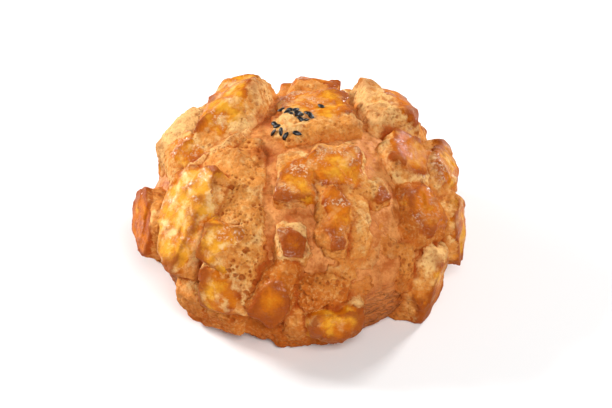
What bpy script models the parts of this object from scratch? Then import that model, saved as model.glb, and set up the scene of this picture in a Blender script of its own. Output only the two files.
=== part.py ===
"""Pineapple bun: a round loaf under a cracked cookie crust, with a pinch of sesame on its crown.

Metres, +Z up. The bun stands on z = 0, and the origin is under the middle of its outline.
A place on the loaf is a bearing and a drop. The bearing is in degrees, 0 at the front (-Y), 90 at
the right (+X) and 180 at the back. The drop is the way down the bread's surface from the crown.
"""

import math
import random
from collections import namedtuple

import bmesh
import bpy
import numpy as np
from mathutils import Matrix, Vector, noise

NODE_NAME = "bun"
MOST_TRIANGLES = 10600
SURFACE_SUBDIVISIONS = 7

# The bread under the crust is a turned shape: an upper quarter ellipse over a lower one.
BREAD_RADIUS = 0.050
BREAD_HEIGHT = 0.052
WAIST_HEIGHT = 0.021
FOOT_RADIUS = 0.040
PROFILE_STEPS = 400

# Each plate of crust is a stiff slab with straight broken edges, wide of slope on some sides.
# across and down are its half sizes, turn turns it clockwise, and taper narrows its lower end.
# rise is how far it stands out of the bread. pitch lifts its lower end and roll its clockwise end,
# as a share of the way there. slope is how wide its broken edge is, and cap_across and cap_down
# say, as shares of its half sizes, to which side its flat top is moved. skirt is how far the thin
# crumb round it reaches.
Plate = namedtuple(
    "Plate",
    "bearing drop across down turn taper rise pitch roll slope cap_across cap_down skirt",
    defaults=(0, 0.0, 0.0045, 0.0, 0.0, 0.0045, 0.0, 0.0, 0.0055),
)
CROWN_PLATES = [
    Plate(150, 0.0095, 0.0135, 0.0155, turn=150, taper=-0.1, rise=0.0045, slope=0.0055,
          cap_down=-0.3, skirt=0.0035),
    Plate(171, 0.0330, 0.0088, 0.0085, rise=0.0056, slope=0.0035),
    Plate(128, 0.0345, 0.0118, 0.0158, turn=112, taper=0.35, rise=0.0086, pitch=-0.02,
          slope=0.0060, cap_across=0.2, cap_down=-0.3, skirt=0.0035),
    Plate(-122, 0.0270, 0.0118, 0.0210, turn=-112, taper=0.6, rise=0.0084, pitch=-0.03, roll=0.13,
          slope=0.0070, cap_across=0.05, skirt=0.0035),
]
RIGHT_PLATES = [
    Plate(80, 0.0355, 0.0105, 0.0095, turn=20, rise=0.0045, roll=0.03, slope=0.0055,
          cap_across=0.4, cap_down=-0.2, skirt=0.004),
    Plate(92, 0.0495, 0.0118, 0.0075, turn=5, rise=0.0058, cap_down=-0.2),
    Plate(74, 0.0620, 0.0080, 0.0110, turn=0, rise=0.0052, slope=0.0035),
    Plate(59, 0.0480, 0.0086, 0.0100, turn=15, rise=0.0040, pitch=0.05, slope=0.0045,
          skirt=0.004),
    Plate(46, 0.0340, 0.0044, 0.0050, rise=0.0018, slope=0.0030, skirt=0.004),
    Plate(52, 0.0712, 0.0058, 0.0130, turn=20, taper=0.3, rise=0.0054, pitch=0.12, slope=0.0045,
          skirt=0.004),
]
LEFT_PLATES = [
    Plate(-108, 0.0415, 0.0120, 0.0088, rise=0.0070, pitch=0.05, cap_down=0.2),
    Plate(-85, 0.0375, 0.0100, 0.0080, turn=-15, rise=0.0052, slope=0.0040, cap_down=-0.4),
    Plate(-73, 0.0585, 0.0108, 0.0088, rise=0.0046, slope=0.0035),
    Plate(-52, 0.0475, 0.0096, 0.0158, turn=-14, taper=0.5, rise=0.0058, roll=0.08, pitch=-0.03,
          cap_across=0.2, cap_down=-0.3),
    Plate(-42, 0.0705, 0.0062, 0.0060, rise=0.0042, slope=0.0035),
]
FRONT_PLATES = [
    Plate(-34, 0.0335, 0.0085, 0.0240, turn=-20, taper=-0.2, rise=0.0034, slope=0.0075,
          cap_across=-0.4, skirt=0.003),
    Plate(-54, 0.0300, 0.0085, 0.0110, turn=-30, rise=0.0034),
    Plate(-30, 0.0480, 0.0068, 0.0074, rise=0.0056, roll=-0.14, slope=0.0040, cap_across=-0.4),
    Plate(-26, 0.0600, 0.0080, 0.0082, rise=0.0050, roll=-0.10, pitch=0.08, slope=0.0045,
          cap_across=-0.3),
    Plate(-34, 0.0748, 0.0120, 0.0055, rise=0.0028, slope=0.0030),
    Plate(-9, 0.0590, 0.0058, 0.0098, turn=30, taper=-0.3, rise=0.0046, pitch=0.16, slope=0.0040,
          cap_across=0.3),
    Plate(32, 0.0205, 0.0098, 0.0085, turn=29, rise=0.0042, slope=0.0040, cap_down=-0.2,
          skirt=0.0035),
    Plate(-3, 0.0230, 0.0072, 0.0102, rise=0.0042, pitch=0.04, slope=0.0050, cap_down=0.4,
          skirt=0.0035),
    Plate(16, 0.0365, 0.0054, 0.0108, turn=6, taper=0.4, rise=0.0046, slope=0.0040,
          cap_across=0.4, skirt=0.004),
    Plate(28, 0.0375, 0.0038, 0.0112, turn=12, rise=0.0032, slope=0.0030),
    Plate(-3, 0.0438, 0.0054, 0.0056, taper=0.2, rise=0.0044, pitch=0.12, slope=0.0035,
          cap_down=0.3, skirt=0.004),
    Plate(8, 0.0592, 0.0078, 0.0052, rise=0.0030, slope=0.0050),
    Plate(13, 0.0705, 0.0090, 0.0072, rise=0.0056, pitch=0.26, slope=0.0040, cap_across=0.1,
          cap_down=-0.6),
    Plate(-1, 0.0710, 0.0040, 0.0070, rise=0.0030, slope=0.0040),
    Plate(3, 0.0795, 0.0110, 0.0045, rise=0.0018, slope=0.0030),
    Plate(-17, 0.0780, 0.0060, 0.0045, rise=0.0009, slope=0.0030),
]
# Thin scraps of crust that the loaf tore off as it rose, low on the right of the front.
SCRAPS = [
    Plate(28, 0.0500, 0.0044, 0.0054, turn=15, rise=-0.0004, skirt=0.0012),
    Plate(38, 0.0475, 0.0028, 0.0075, turn=-8, rise=-0.0002, skirt=0.0010),
    Plate(17, 0.0505, 0.0050, 0.0050, turn=25, rise=0.0004, skirt=0.0018),
    Plate(23, 0.0610, 0.0050, 0.0034, turn=-20, rise=-0.0006, skirt=0.0010),
    Plate(43, 0.0605, 0.0038, 0.0085, turn=12, rise=0.0006, skirt=0.0018),
]
PLATES = CROWN_PLATES + RIGHT_PLATES + LEFT_PLATES + FRONT_PLATES + SCRAPS

# Between some plates the crust has split. Each split follows places on the bread, given as a
# bearing and a drop, is so wide at its foot, and goes down to this height over the bread.
Split = namedtuple("Split", "width floor wall places")
CRUST_SINK = 0.0035
SPLITS = [
    Split(0.0014, -CRUST_SINK, 4.0, [(-171, 0.0365), (-152, 0.0195), (-116, 0.0125), (-63, 0.0110),
                                     (-29, 0.0190), (-20, 0.0260), (-16, 0.0345), (-13, 0.0420)]),
    Split(0.0018, -CRUST_SINK, 4.0, [(160, 0.0385), (156, 0.0370), (129, 0.0225), (101, 0.0210),
                                     (67, 0.0270), (58, 0.0335), (52, 0.0395), (45, 0.0460)]),
    Split(0.0002, -CRUST_SINK, 4.0, [(-54, 0.0090), (-26, 0.0105), (1, 0.0090), (55, 0.0115),
                                     (85, 0.0190)]),
    Split(0.0002, -CRUST_SINK, 4.0, [(5, 0.0320), (5, 0.0415), (7, 0.0480), (14, 0.0500)]),
    Split(0.0004, 0.0016, 0.8, [(-128, 0.0120), (-93, 0.0190), (-80, 0.0310), (-76, 0.0370)]),
]

# The back is filled with like plates, in rings where the front's plates end.
Ring = namedtuple("Ring", "drop first last count")
BACK_RINGS = [Ring(0.050, 128, 232, 5), Ring(0.066, 112, 237, 6), Ring(0.081, 98, 262, 8)]
BACK_RANDOM = 5

# How a plate is broken off: straight edges, of which every second cuts off a corner.
EDGE_COUNT = 8
EDGE_SHARPNESS = 22.0
EDGE_LEAN = 0.16
CORNER_REACH = (0.72, 0.97)
SLOPE_SPREAD = (0.6, 1.4)
CHIP_SLOPE = (0.15, 0.35)
CHIP_START = (0.2, 0.5)
NARROWEST_SLOPE = 0.3
STEEPNESS = 0.75
SHOULDER = 0.12
FLATNESS_SHARE = 0.7
MOST_FLATTENING = 0.0025
FACING = 0.3
FAR_OUTSIDE = -0.05

# Beyond a plate's edge the crust thins out and then dips under the bread.
SKIRT_HEIGHT = 0.0020
SKIRT_SHARE = 0.45
LOW_INSET = 0.0018
HIGH_INSET = 0.0005
LOW_PLACE = 0.030
HIGH_PLACE = 0.044

# Two sizes of unevenness make each plate's edge wander, and one makes its top lumpy.
EDGE_WAVE = 0.009
EDGE_WAVE_DEPTH = 0.0020
EDGE_CHIP = 0.003
EDGE_CHIP_DEPTH = 0.0009
LUMP_SIZE = 0.007
LUMP_SHARE = 0.15
NOISE_APART = 1.37
SPLIT_WANDER = 0.6

# The underside is cut flat a little above the lowest point of the turned shape.
SLICE_HEIGHT = 0.0025
FLATNESS = 0.00001

# Sesame on the crown: where each little group lies, to the right of and behind the crown's middle.
SeedGroup = namedtuple("SeedGroup", "right back count spread")
SEED_GROUPS = [
    SeedGroup(-0.0088, -0.0005, 6, 0.0017),
    SeedGroup(-0.0058, 0.0085, 1, 0.0),
    SeedGroup(-0.0022, 0.0042, 6, 0.0018),
    SeedGroup(-0.0058, -0.0038, 1, 0.0),
    SeedGroup(-0.0045, -0.0054, 1, 0.0),
    SeedGroup(-0.0008, -0.0054, 1, 0.0),
    SeedGroup(0.0018, 0.0018, 5, 0.0017),
    SeedGroup(0.0068, 0.0092, 1, 0.0),
]
SEED_LENGTH = 0.0030
SEED_WIDTH = 0.0018
SEED_THICKNESS = 0.0011
SEED_SEGMENTS = 6
SEED_RINGS = 4
SEED_SINK = 0.0003
SEED_RANDOM = 11

CRUST_COLOUR = (0.62, 0.29, 0.08, 1.0)
CRUST_ROUGHNESS = 0.55


def clear_scene():
    for old in list(bpy.data.objects):
        bpy.data.objects.remove(old, do_unlink=True)


def turned_profile():
    """Drop, radius and height along the bread, from the crown to the middle of the base."""
    turn = np.linspace(0, math.pi / 2, PROFILE_STEPS)
    upper_radius = BREAD_RADIUS * np.sin(turn)
    upper_height = WAIST_HEIGHT + (BREAD_HEIGHT - WAIST_HEIGHT) * np.cos(turn)
    lower_radius = FOOT_RADIUS + (BREAD_RADIUS - FOOT_RADIUS) * np.cos(turn)
    lower_height = WAIST_HEIGHT * (1 - np.sin(turn))
    base_radius = np.linspace(FOOT_RADIUS, 0, PROFILE_STEPS)
    radius = np.concatenate([upper_radius, lower_radius[1:], base_radius[1:]])
    height = np.concatenate([upper_height, lower_height[1:], np.zeros(PROFILE_STEPS - 1)])
    steps = np.hypot(np.diff(radius), np.diff(height))
    return np.concatenate([[0], np.cumsum(steps)]), radius, height


DROPS, RADII, HEIGHTS = turned_profile()
SLOPES = np.arctan2(-np.gradient(HEIGHTS, DROPS), np.gradient(RADII, DROPS))


def bread_at(bearing, drop):
    """Points on the bread and the directions that face out of it there."""
    turn = np.radians(bearing)
    radius = np.interp(drop, DROPS, RADII)
    height = np.interp(drop, DROPS, HEIGHTS)
    slope = np.interp(drop, DROPS, SLOPES)
    outward = np.stack([np.sin(turn), -np.cos(turn), np.zeros_like(turn)], -1)
    upward = np.array([0.0, 0.0, 1.0])
    points = outward * radius[..., None] + upward * height[..., None]
    normals = outward * np.sin(slope)[..., None] + upward * np.cos(slope)[..., None]
    return points, normals


def noise_at(points, size):
    """Smooth noise from about -1 to 1, which wanders over distances of about this size."""
    return np.array([noise.noise(Vector(point)) for point in points / size])


def noise_vectors_at(points, size):
    """The same noise read in three far places, one for each direction."""
    places = [points + NOISE_APART * (axis + 1) for axis in range(3)]
    return np.stack([noise_at(place, size) for place in places], -1)


def smoothstep(low, high, value):
    way = np.clip((value - low) / (high - low), 0, 1)
    return way * way * (3 - 2 * way)


def smooth_min(first, second, width):
    near = np.clip(width - np.abs(first - second), 0, None) / width
    return np.minimum(first, second) - near * near * width / 4


def plate_frame(plate):
    """The middle of a plate on the bread, and its across, down and outward directions."""
    middle, out = bread_at(np.array(float(plate.bearing)), np.array(plate.drop))
    turn = math.radians(plate.bearing)
    level = np.array([math.cos(turn), math.sin(turn), 0.0])
    downhill = np.cross(level, out)
    swing = math.radians(plate.turn)
    across = level * math.cos(swing) + downhill * math.sin(swing)
    down = downhill * math.cos(swing) - level * math.sin(swing)
    return middle, across, down, out


def straight_edges(across, down, taper, draw):
    """The straight edges of a broken slab: the direction each faces and how far out it is."""
    edges = []
    for index in range(EDGE_COUNT):
        right = math.cos(math.tau * index / EDGE_COUNT)
        low = math.sin(math.tau * index / EDGE_COUNT)
        lean = draw.uniform(-EDGE_LEAN, EDGE_LEAN)
        if index % 2:
            corner = draw.uniform(*CORNER_REACH)
            touch = (math.copysign(across, right) * corner, math.copysign(down, low) * corner)
            normal = math.atan2(math.copysign(across, low), math.copysign(down, right))
        else:
            touch = (across * right, down * low)
            normal = math.atan2(low + abs(right) * taper * across / down / 2, right)
        facing = (math.cos(normal + lean), math.sin(normal + lean))
        edges.append((facing, facing[0] * touch[0] + facing[1] * touch[1]))
    return edges


def way_up(edges, slopes, side, fall):
    """How far inside the nearest edge each point is, in metres, and its way up that broken edge."""
    inside = np.full(len(side), np.inf)
    total = np.zeros(len(side))
    for (facing, reach), slope in zip(edges, slopes):
        way_in = reach - side * facing[0] - fall * facing[1]
        inside = np.minimum(inside, way_in)
        total += np.exp(-EDGE_SHARPNESS * np.clip(way_in / slope, -3, 3))
    return inside, -np.log(total) / EDGE_SHARPNESS


def plate_height(plate, points, warped, normals):
    """How far this plate stands out of the bread at each point, with its outline on warped points."""
    draw = random.Random(f"{plate.bearing} {plate.drop}")
    middle, across, down, out = plate_frame(plate)
    side = (warped - middle) @ across
    fall = (warped - middle) @ down
    edges = straight_edges(plate.across, plate.down, plate.taper, draw)
    slopes = []
    for facing, _ in edges:
        skew = 1 - plate.cap_across * facing[0] - plate.cap_down * facing[1]
        slopes.append(STEEPNESS * plate.slope * max(skew, NARROWEST_SLOPE) * draw.uniform(*SLOPE_SPREAD))
    inside, way = way_up(edges, slopes, side, fall)
    away = normals @ out < FACING
    inside[away] = FAR_OUTSIDE
    way[away] = -1
    flattening = np.clip((middle - points) @ out * FLATNESS_SHARE, 0, MOST_FLATTENING)
    rise = plate.rise + flattening
    rise += plate.pitch * np.clip(fall, -plate.down, plate.down)
    rise += plate.roll * np.clip(side, -plate.across, plate.across)
    chip = draw.uniform(0, math.tau)
    along = side * math.cos(chip) + fall * math.sin(chip)
    size = min(plate.across, plate.down)
    chip_slope = draw.uniform(*CHIP_SLOPE)
    rise -= chip_slope * np.clip(along - size * draw.uniform(*CHIP_START), 0, None)
    thinning = np.clip(1 + inside / plate.skirt, 0, 1)
    foot = min(SKIRT_HEIGHT, SKIRT_SHARE * plate.rise, plate.rise)
    skirt = (foot + CRUST_SINK) * thinning**2 - CRUST_SINK
    face = np.clip(smooth_min(way, np.ones_like(way), SHOULDER), 0, 1)
    return skirt + (rise - foot) * face


def split_distance(split, points):
    """How far each point is from a split's middle line."""
    bearings, drops = np.array(split.places).T
    places, _ = bread_at(bearings, drops)
    nearest = np.full(len(points), np.inf)
    for first, last in zip(places, places[1:]):
        along = last - first
        share = np.clip((points - first) @ along / (along @ along), 0, 1)
        gap = np.linalg.norm(points - first - share[:, None] * along, axis=1)
        nearest = np.minimum(nearest, gap)
    return nearest


def back_plates():
    """Plates like those in front, spaced evenly over the back, where each ring is all but hidden."""
    draw = random.Random(BACK_RANDOM)
    plates = []
    for ring in BACK_RINGS:
        step = (ring.last - ring.first) / (ring.count - 1)
        for index in range(ring.count):
            plates.append(
                Plate(
                    bearing=ring.first + index * step + draw.uniform(-0.15, 0.15) * step,
                    drop=ring.drop + draw.uniform(-0.003, 0.003),
                    across=draw.uniform(0.0075, 0.0105),
                    down=draw.uniform(0.0070, 0.0085),
                    turn=draw.uniform(-20, 20),
                    taper=draw.uniform(-0.3, 0.3),
                    rise=draw.uniform(0.0040, 0.0058),
                    pitch=0.05,
                )
            )
    return plates


def surface_height(points, normals):
    """How far the crust, or the bread in a split, stands out of the turned shape at each point."""
    wander = EDGE_WAVE_DEPTH * noise_vectors_at(points, EDGE_WAVE)
    wander += EDGE_CHIP_DEPTH * noise_vectors_at(points, EDGE_CHIP)
    height = np.full(len(points), -CRUST_SINK)
    for plate in PLATES + back_plates():
        height = np.maximum(height, plate_height(plate, points, points + wander, normals))
    lump = 1 + LUMP_SHARE * noise_at(points, LUMP_SIZE)
    height = np.where(height > 0, height * lump, height)
    for split in SPLITS:
        beyond = split_distance(split, points + wander * SPLIT_WANDER) - split.width / 2
        height = np.minimum(height, split.floor + split.wall * np.clip(beyond, 0, None))
    inset = HIGH_INSET + (LOW_INSET - HIGH_INSET) * smoothstep(HIGH_PLACE, LOW_PLACE, points[:, 2])
    return np.maximum(height, -inset)


def loaf_mesh():
    """The whole outer surface, drawn out from points spread evenly over the bread."""
    shape = bmesh.new()
    bmesh.ops.create_icosphere(shape, subdivisions=SURFACE_SUBDIVISIONS, radius=1)
    aims = np.array([vert.co[:] for vert in shape.verts], float)
    bearing = np.degrees(np.arctan2(aims[:, 0], -aims[:, 1]))
    drop = np.arccos(np.clip(aims[:, 2], -1, 1)) / math.pi * DROPS[-1]
    points, normals = bread_at(bearing, drop)
    points += normals * surface_height(points, normals)[:, None]
    for vert, point in zip(shape.verts, points):
        vert.co = point
    mesh = bpy.data.meshes.new(NODE_NAME)
    shape.to_mesh(mesh)
    shape.free()
    return mesh


def thin_out(bun, triangles):
    """Merge the smallest triangles until about this many are left."""
    thinning = bun.modifiers.new("thinning", "DECIMATE")
    thinning.ratio = triangles / len(bun.data.polygons)
    apply_modifier(bun, thinning)


def apply_modifier(thing, modifier):
    with bpy.context.temp_override(object=thing, active_object=thing, selected_objects=[thing]):
        bpy.ops.object.modifier_apply(modifier=modifier.name)


def slice_base(bun):
    """Cut the underside flat, so that the bun stands, and put that face on z = 0."""
    shape = bmesh.new()
    shape.from_mesh(bun.data)
    everything = shape.verts[:] + shape.edges[:] + shape.faces[:]
    cut = bmesh.ops.bisect_plane(
        shape, geom=everything, plane_co=(0, 0, SLICE_HEIGHT), plane_no=(0, 0, 1), clear_inner=True
    )
    rim = [part for part in cut["geom_cut"] if isinstance(part, bmesh.types.BMEdge)]
    bmesh.ops.edgeloop_fill(shape, edges=rim)
    bmesh.ops.triangulate(shape, faces=shape.faces[:])
    for vert in shape.verts:
        vert.co.z -= SLICE_HEIGHT
        if abs(vert.co.z) < FLATNESS:
            vert.co.z = 0.0
    bmesh.ops.recalc_face_normals(shape, faces=shape.faces[:])
    shape.to_mesh(bun.data)
    shape.free()


def seed_places():
    """Where each seed lies, to the right of and behind the crown's middle, and which way it points."""
    draw = random.Random(SEED_RANDOM)
    places = []
    for group in SEED_GROUPS:
        for index in range(group.count):
            angle = math.tau * (index + draw.uniform(-0.2, 0.2)) / group.count
            reach = group.spread * draw.uniform(0.75, 1.15)
            right = group.right + reach * math.cos(angle)
            back = group.back + reach * math.sin(angle)
            places.append((right, back, draw.uniform(0, math.pi)))
    return places


def make_seed(index, surface, right, back, swing):
    """One sesame seed, lying on the crust and a little sunk into it."""
    above = Vector((right, back, BREAD_HEIGHT * 2))
    hit, spot, out, _ = surface.ray_cast(above, Vector((0, 0, -1)))
    shape = bmesh.new()
    bmesh.ops.create_uvsphere(shape, u_segments=SEED_SEGMENTS, v_segments=SEED_RINGS, radius=0.5)
    size = Matrix.Diagonal((SEED_WIDTH, SEED_THICKNESS, SEED_LENGTH, 1.0))
    lie_down = Matrix.Rotation(math.pi / 2, 4, "X")
    spin = Matrix.Rotation(swing, 4, "Z")
    lean = out.to_track_quat("Z", "Y").to_matrix().to_4x4()
    place = Matrix.Translation(spot + out * (SEED_THICKNESS / 2 - SEED_SINK))
    bmesh.ops.transform(shape, matrix=place @ lean @ spin @ lie_down @ size, verts=shape.verts)
    mesh = bpy.data.meshes.new(f"seed_{index}")
    shape.to_mesh(mesh)
    shape.free()
    return bpy.data.objects.new(mesh.name, mesh)


def add_seeds(bun):
    """Fuse the sesame seeds to the crust they lie on."""
    seeds = bpy.data.collections.new("seeds")
    bpy.context.scene.collection.children.link(seeds)
    for index, (right, back, swing) in enumerate(seed_places()):
        seeds.objects.link(make_seed(index, bun, right, back, swing))
    fuse = bun.modifiers.new("seeds", "BOOLEAN")
    fuse.operation = "UNION"
    fuse.operand_type = "COLLECTION"
    fuse.collection = seeds
    apply_modifier(bun, fuse)
    for seed in list(seeds.objects):
        bpy.data.objects.remove(seed, do_unlink=True)
    bpy.data.collections.remove(seeds)


def centre_outline(bun):
    """Put the middle of the outline over the origin."""
    corners = np.array(bun.bound_box)
    middle = (corners.min(0) + corners.max(0)) / 2
    bun.data.transform(Matrix.Translation((-middle[0], -middle[1], 0.0)))


def crust_material():
    material = bpy.data.materials.new("crust")
    material.use_nodes = True
    surface = material.node_tree.nodes["Principled BSDF"]
    surface.inputs["Base Color"].default_value = CRUST_COLOUR
    surface.inputs["Roughness"].default_value = CRUST_ROUGHNESS
    surface.inputs["Metallic"].default_value = 0.0
    return material


def main():
    clear_scene()
    bun = bpy.data.objects.new(NODE_NAME, loaf_mesh())
    bpy.context.scene.collection.objects.link(bun)
    thin_out(bun, MOST_TRIANGLES)
    slice_base(bun)
    add_seeds(bun)
    centre_outline(bun)
    bun.data.materials.clear()
    bun.data.materials.append(crust_material())
    bun.data.shade_smooth()


if __name__ == "__main__":
    main()
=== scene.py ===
"""Looks of a pineapple bun: cracked cookie crust over a soft loaf, with a pinch of black sesame.

Metres, +Z up. A place on the loaf is a bearing and a drop. The bearing is in degrees, 0 at the
front (-Y), 90 at the right (+X) and 180 at the back. The drop is the way down the bread's surface
from the crown. The loaf is built about its own axis and then moved to where the solid stands.
"""

import math
import random
from collections import namedtuple

import bmesh
import bpy
import numpy as np
from mathutils import Matrix, Vector, kdtree, noise
from mathutils.bvhtree import BVHTree


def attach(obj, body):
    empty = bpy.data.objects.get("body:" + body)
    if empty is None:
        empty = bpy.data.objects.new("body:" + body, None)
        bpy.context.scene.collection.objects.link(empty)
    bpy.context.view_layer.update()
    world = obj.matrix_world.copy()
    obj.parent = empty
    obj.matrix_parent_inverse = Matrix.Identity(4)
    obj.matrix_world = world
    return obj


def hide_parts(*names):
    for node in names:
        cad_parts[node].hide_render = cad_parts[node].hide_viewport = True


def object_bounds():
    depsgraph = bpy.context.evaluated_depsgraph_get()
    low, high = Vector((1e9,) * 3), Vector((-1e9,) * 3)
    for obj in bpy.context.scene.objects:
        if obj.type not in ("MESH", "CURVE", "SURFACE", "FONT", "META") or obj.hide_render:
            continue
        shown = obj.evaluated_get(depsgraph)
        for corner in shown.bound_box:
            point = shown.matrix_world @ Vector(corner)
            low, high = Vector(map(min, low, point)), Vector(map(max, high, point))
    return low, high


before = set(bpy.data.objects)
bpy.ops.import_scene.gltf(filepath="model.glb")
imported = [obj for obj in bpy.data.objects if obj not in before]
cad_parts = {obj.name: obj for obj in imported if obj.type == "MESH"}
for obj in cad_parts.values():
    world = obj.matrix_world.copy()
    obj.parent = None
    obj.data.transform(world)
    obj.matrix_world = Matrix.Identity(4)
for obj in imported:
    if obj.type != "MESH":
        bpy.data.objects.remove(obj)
CAD_LOW, CAD_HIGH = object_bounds()
NODE_NAME = "bun"
BODY_NAME = "root"

# The bread under the crust is a turned shape: an upper quarter ellipse over a lower one.
BREAD_RADIUS = 0.050
BREAD_HEIGHT = 0.052
WAIST_HEIGHT = 0.021
FOOT_RADIUS = 0.040
PROFILE_STEPS = 400

# Where the egg wash lies on a plate: its middle and half sizes as shares of the plate's own, how
# darkly it has baked, from 0 for yellow to 1 for brown, and how far up the broken edge it stops.
# A plate without it is bare.
Wash = namedtuple("Wash", "side fall across down tone edge", defaults=(0.0, 0.0, 0.7, 0.7, 0.4, 0.5))

# Each plate of crust is a stiff slab with straight broken edges, wide of slope on some sides.
# across and down are its half sizes, turn turns it clockwise, and taper narrows its lower end.
# rise is how far it stands out of the bread. pitch lifts its lower end and roll its clockwise end,
# as a share of the way there. slope is how wide its broken edge is, and cap_across and cap_down
# say, as shares of its half sizes, to which side its flat top is moved. skirt is how far the thin
# crumb round it reaches, bake how brown that is, from about 0 to about 1, and pits how porous.
Plate = namedtuple(
    "Plate",
    "bearing drop across down turn taper rise pitch roll slope cap_across cap_down skirt wash bake pits",
    defaults=(0, 0.0, 0.0045, 0.0, 0.0, 0.0045, 0.0, 0.0, 0.0055, None, 0.4, 0.7),
)
CROWN_PLATES = [
    Plate(150, 0.0095, 0.0135, 0.0155, turn=150, taper=-0.1, slope=0.0055, cap_down=-0.3, skirt=0.0035,
          wash=Wash(0.0, -0.25, 0.8, 0.72, 0.62), bake=0.5),
    Plate(171, 0.0330, 0.0088, 0.0085, rise=0.0056, slope=0.0035, wash=Wash(0, 0.2, 0.8, 0.6, 0.8), bake=0.6),
    Plate(128, 0.0345, 0.0118, 0.0158, turn=112, taper=0.35, rise=0.0086, pitch=-0.02, slope=0.0060,
          cap_across=0.2, cap_down=-0.3, skirt=0.0035, wash=Wash(0.42, 0.1, 0.5, 0.8, 0.75), bake=0.15),
    Plate(-122, 0.0270, 0.0118, 0.0210, turn=-112, taper=0.6, rise=0.0084, pitch=-0.03, roll=0.13,
          slope=0.0070, cap_across=0.05, skirt=0.0035, wash=Wash(-0.18, -0.1, 0.75, 0.75, 0.5), bake=0.35),
]
RIGHT_PLATES = [
    Plate(80, 0.0355, 0.0105, 0.0095, turn=20, roll=0.03, slope=0.0055, cap_across=0.4, cap_down=-0.2,
          skirt=0.004, wash=Wash(0.2, -0.05, 0.8, 0.8, 0.72), bake=0.25),
    Plate(92, 0.0495, 0.0118, 0.0075, turn=5, rise=0.0058, cap_down=-0.2, wash=Wash(0, 0, 0.8, 0.75, 0.5),
          bake=0.35),
    Plate(74, 0.0620, 0.0080, 0.0110, rise=0.0052, slope=0.0035, wash=Wash(-0.1, 0, 0.7, 0.8, 0.5)),
    Plate(59, 0.0480, 0.0086, 0.0100, turn=15, rise=0.0040, pitch=0.05, skirt=0.004,
          wash=Wash(0.1, -0.05, 0.8, 0.75, 0.7), bake=1.2),
    Plate(46, 0.0340, 0.0044, 0.0050, rise=0.0018, slope=0.0030, skirt=0.004,
          wash=Wash(-0.1, 0.5, 0.7, 0.4, 0.9)),
    Plate(52, 0.0712, 0.0058, 0.0130, turn=20, taper=0.3, rise=0.0054, pitch=0.12, skirt=0.004,
          wash=Wash(0.1, 0.3, 0.85, 0.95, 0.5, -0.3), bake=0.0),
]
LEFT_PLATES = [
    Plate(-108, 0.0415, 0.0120, 0.0088, rise=0.0070, pitch=0.05, cap_down=0.2, bake=-0.15, pits=0.5),
    Plate(-85, 0.0375, 0.0100, 0.0080, turn=-15, rise=0.0052, slope=0.0040, cap_down=-0.4,
          wash=Wash(-0.1, -0.3, 0.85, 0.6, 0.5), bake=0.35),
    Plate(-73, 0.0585, 0.0108, 0.0088, rise=0.0046, slope=0.0035, wash=Wash(0, 0, 0.85, 0.8, 0.9), bake=0.6),
    Plate(-52, 0.0475, 0.0096, 0.0158, turn=-14, taper=0.5, rise=0.0058, roll=0.08, pitch=-0.03,
          cap_across=0.2, cap_down=-0.3, wash=Wash(0, 0, 0.95, 0.95, 0.32, 0.2), bake=0.3),
    Plate(-42, 0.0705, 0.0062, 0.0060, rise=0.0042, slope=0.0035, bake=0.15),
]
FRONT_PLATES = [
    Plate(-34, 0.0335, 0.0085, 0.0240, turn=-20, taper=-0.2, rise=0.0034, slope=0.0075, cap_across=-0.4,
          skirt=0.003, bake=0.45, pits=1.4),
    Plate(-54, 0.0300, 0.0085, 0.0110, turn=-30, rise=0.0034),
    Plate(-30, 0.0480, 0.0068, 0.0074, rise=0.0056, roll=-0.14, slope=0.0040, cap_across=-0.4,
          wash=Wash(-0.05, 0, 0.9, 0.85, 0.35, 0.3), bake=0.2),
    Plate(-26, 0.0600, 0.0080, 0.0082, rise=0.0050, roll=-0.10, pitch=0.08, cap_across=-0.3,
          wash=Wash(-0.2, 0.15, 0.65, 0.8, 0.45, 0.3), bake=0.25),
    Plate(-34, 0.0748, 0.0120, 0.0055, rise=0.0028, slope=0.0030, bake=0.6),
    Plate(-9, 0.0590, 0.0058, 0.0098, turn=30, taper=-0.3, rise=0.0046, pitch=0.16, slope=0.0040,
          cap_across=0.3, wash=Wash(0.05, 0.1, 0.75, 0.7, 0.9), bake=1.15),
    Plate(32, 0.0205, 0.0098, 0.0085, turn=29, rise=0.0042, slope=0.0040, cap_down=-0.2, skirt=0.0035,
          wash=Wash(0.05, 0.2, 0.9, 0.8, 0.6, 0.35), bake=0.35),
    Plate(-3, 0.0230, 0.0072, 0.0102, rise=0.0042, pitch=0.04, slope=0.0050, cap_down=0.4, skirt=0.0035,
          wash=Wash(0.05, 0.3, 0.85, 0.95, 0.55, 0.3), bake=0.3),
    Plate(16, 0.0365, 0.0054, 0.0108, turn=6, taper=0.4, rise=0.0046, slope=0.0040, cap_across=0.4,
          skirt=0.004, wash=Wash(0.1, 0, 0.72, 0.85, 0.75), bake=0.6),
    Plate(28, 0.0375, 0.0038, 0.0112, turn=12, rise=0.0032, slope=0.0030, bake=0.5),
    Plate(-3, 0.0438, 0.0054, 0.0056, taper=0.2, rise=0.0044, pitch=0.12, slope=0.0035, cap_down=0.3,
          skirt=0.004, wash=Wash(0.1, 0.15, 0.68, 0.68, 1.1), bake=0.25),
    Plate(8, 0.0592, 0.0078, 0.0052, rise=0.0030, slope=0.0050, bake=1.1, pits=1.3),
    Plate(13, 0.0705, 0.0090, 0.0072, rise=0.0056, pitch=0.26, slope=0.0040, cap_across=0.1, cap_down=-0.6,
          wash=Wash(0, 0.15, 1.2, 1.4, 0.6, -0.9), bake=-0.1),
    Plate(-1, 0.0710, 0.0040, 0.0070, rise=0.0030, slope=0.0040, bake=0.6),
    Plate(3, 0.0795, 0.0110, 0.0045, rise=0.0018, slope=0.0030, bake=0.9),
    Plate(-17, 0.0780, 0.0060, 0.0045, rise=0.0009, slope=0.0030, bake=0.9),
]
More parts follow.
